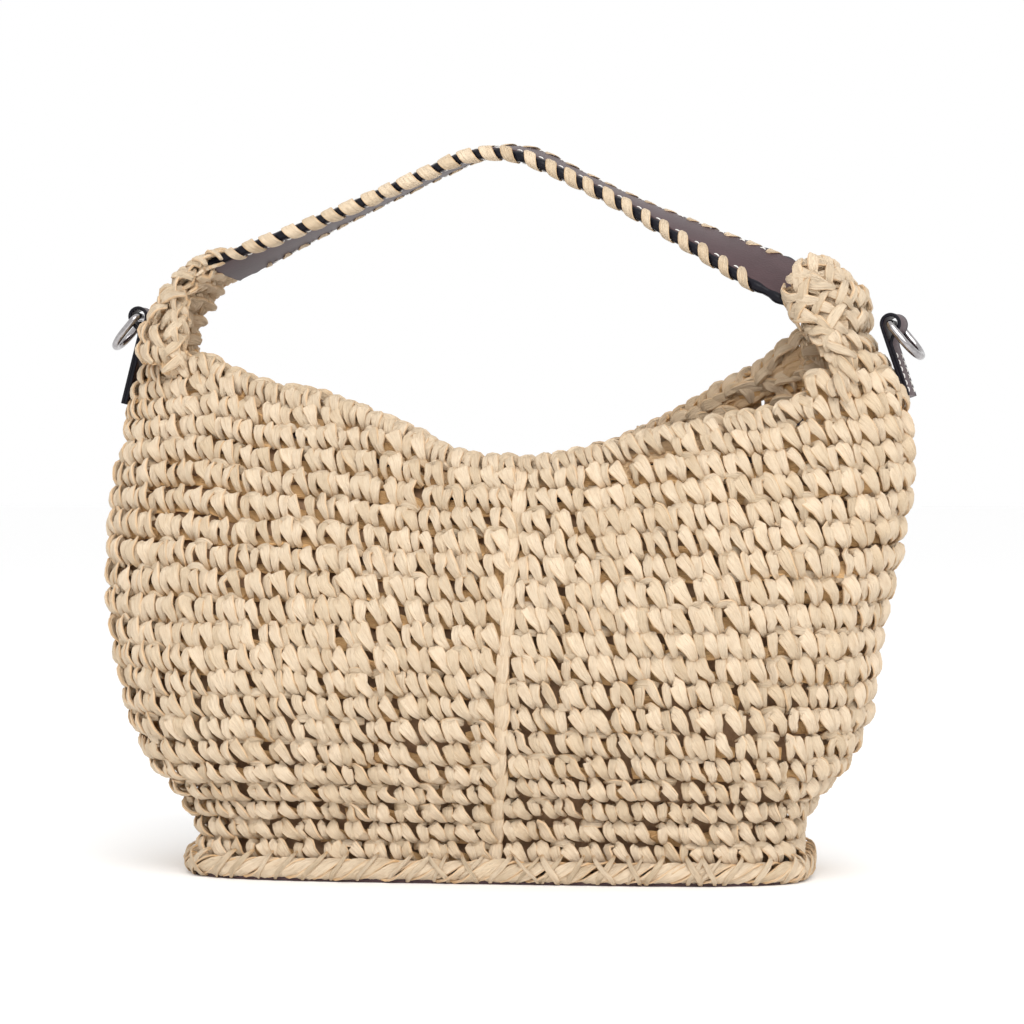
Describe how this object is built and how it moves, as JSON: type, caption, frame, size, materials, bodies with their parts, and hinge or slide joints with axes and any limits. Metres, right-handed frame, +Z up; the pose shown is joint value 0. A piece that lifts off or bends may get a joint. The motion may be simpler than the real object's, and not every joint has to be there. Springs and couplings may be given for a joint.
{
  "type": "hobo bag",
  "caption": "Crocheted raffia hobo bag with a dipped open mouth, laced leather strap handle, flat oblong base and a metal ring on a leather tab at each side.",
  "frame": {"origin": "centre of the base's underside, on the surface that the bag stands on", "axes": "+Z up, +X along the bag's width, towards the viewer's right when facing its front; the front faces -Y"},
  "size_m": [0.4174, 0.1767, 0.3596],
  "materials": {
    "raffia": "matte",
    "leather": "satin",
    "board": "matte",
    "lining_cloth": "matte",
    "binding": "matte",
    "strap_core": "matte",
    "thread": "satin",
    "ring_metal": "polished"
  },
  "bodies": {
    "bag": {"panel_left": "raffia", "panel_right": "raffia", "seam_front": "raffia", "seam_back": "raffia", "base_rim": "raffia", "base_whipstitch": "raffia", "base_leather": "leather", "base_board": "board", "lining": "lining_cloth", "lining_binding": "binding", "tab_left": "leather", "tab_right": "leather", "tab_stitches_left": "thread", "tab_stitches_right": "thread"},
    "handle": {"neck_left": "raffia", "neck_right": "raffia", "strap_bottom": "leather", "strap_core": "strap_core", "strap_top": "leather", "strap_lacing_front": "raffia", "strap_lacing_back": "raffia", "strap_stitching": "thread"},
    "left_ring": {"ring_left": "ring_metal"},
    "right_ring": {"ring_right": "ring_metal"}
  },
  "joints": [
    {"name": "handle_fold", "type": "hinge", "parent": "bag", "child": "handle", "pos_m": [-0.003, 0, 0.281], "axis": [0.9694, -0.2417, -0.0436], "range_deg": [-70, 70]},
    {"name": "left_ring_swing", "type": "hinge", "parent": "bag", "child": "left_ring", "pos_m": [-0.19432, 0.04511, 0.27789], "axis": [-0.0175, 0.9998, 0], "range_deg": [0, 140]},
    {"name": "right_ring_swing", "type": "hinge", "parent": "bag", "child": "right_ring", "pos_m": [0.19346, -0.04389, 0.26726], "axis": [-0.2419, -0.9703, 0], "range_deg": [0, 140]}
  ]
}
